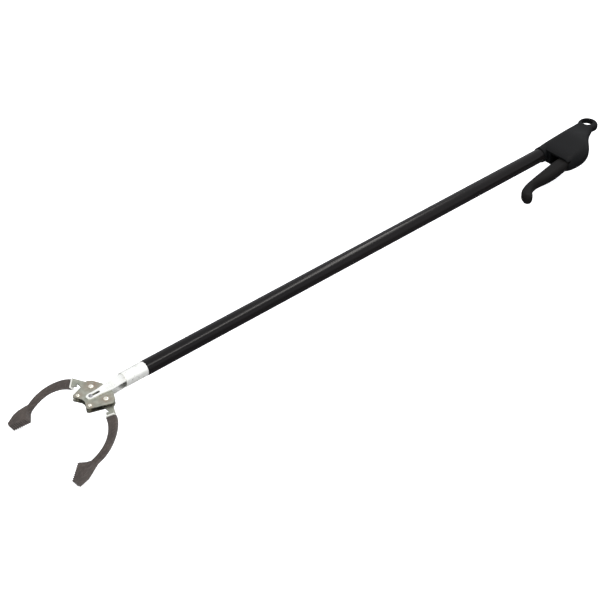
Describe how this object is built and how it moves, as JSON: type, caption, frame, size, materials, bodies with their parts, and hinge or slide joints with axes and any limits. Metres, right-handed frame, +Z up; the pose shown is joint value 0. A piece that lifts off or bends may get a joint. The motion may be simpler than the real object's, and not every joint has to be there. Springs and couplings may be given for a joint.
{
  "type": "reacher grabber",
  "caption": "Pistol-grip reaching tool: squeezing a trigger pulls a rod through a long tube and closes two curved rubber-covered claws on a riveted head.",
  "frame": {"origin": "On the tube's axis, at the middle of the bare tube between the head socket and the handle's collar.", "axes": "+X along the tube from the claws to the handle; +Y across the claws, away from the trigger; +Z up, normal to the head plates and to the handle's flat side."},
  "size_m": [0.9082, 0.1292, 0.0587],
  "materials": {
    "painted_tube": "gloss paint",
    "bright_steel": "polished zinc plate",
    "plate_steel": "dull zinc plate",
    "claw_rubber": "moulded, matt",
    "band_plastic": "moulded",
    "handle_plastic": "satin moulded",
    "guide_plastic": "moulded",
    "rod_steel": "drawn"
  },
  "bodies": {
    "root": {"front_rod_guide": "guide_plastic", "handle_screws": "rod_steel", "handle_shell_bottom": "handle_plastic", "handle_shell_top": "handle_plastic", "head_socket": "bright_steel", "left_pivot_rivet": "bright_steel", "left_pivot_washer": "plate_steel", "left_stop_rivet": "bright_steel", "left_stop_spacer": "plate_steel", "lower_head_plate": "plate_steel", "main_tube": "painted_tube", "middle_rod_guide": "guide_plastic", "rear_rod_guide": "guide_plastic", "return_spring": "rod_steel", "right_pivot_rivet": "bright_steel", "right_pivot_washer": "plate_steel", "right_stop_rivet": "bright_steel", "right_stop_spacer": "plate_steel", "trigger_pivot_pin": "rod_steel", "tube_lock_screw": "rod_steel", "upper_head_plate": "plate_steel"},
    "trigger": {"trigger": "handle_plastic"},
    "pull_rod": {"pull_rod": "rod_steel", "drive_pin": "bright_steel", "rod_clevis": "rod_steel", "clevis_pin": "rod_steel", "spring_collar": "rod_steel"},
    "left_claw": {"left_claw_lever": "plate_steel", "left_claw_rubber": "claw_rubber", "left_claw_band": "band_plastic"},
    "right_claw": {"right_claw_lever": "plate_steel", "right_claw_rubber": "claw_rubber", "right_claw_band": "band_plastic"}
  },
  "joints": [
    {"name": "trigger_pull", "type": "hinge", "parent": "root", "child": "trigger", "pos_m": [0.358, -0.038, 0], "axis": [0, 0, -1], "range_deg": [0, 15.36], "stiffness_Nm_per_rad": 1.2, "springref_deg": -6.88},
    {"name": "rod_slide", "type": "slide", "parent": "root", "child": "pull_rod", "axis": [1, 0, 0], "range_m": [0, 0.01025], "deforming": ["return_spring"]},
    {"name": "left_claw_swing", "type": "hinge", "parent": "root", "child": "left_claw", "pos_m": [-0.3865, 0.0136, 0], "axis": [0, 0, 1], "range_deg": [0, 37]},
    {"name": "right_claw_swing", "type": "hinge", "parent": "root", "child": "right_claw", "pos_m": [-0.3865, -0.0136, 0], "axis": [0, 0, -1], "range_deg": [0, 37]}
  ],
  "couplings": [
    {"joint": "rod_slide", "follows": "trigger_pull", "m_per_rad": 0.038228},
    {"joint": "left_claw_swing", "follows": "trigger_pull", "ratio": 2.4088},
    {"joint": "right_claw_swing", "follows": "trigger_pull", "ratio": 2.4088}
  ]
}
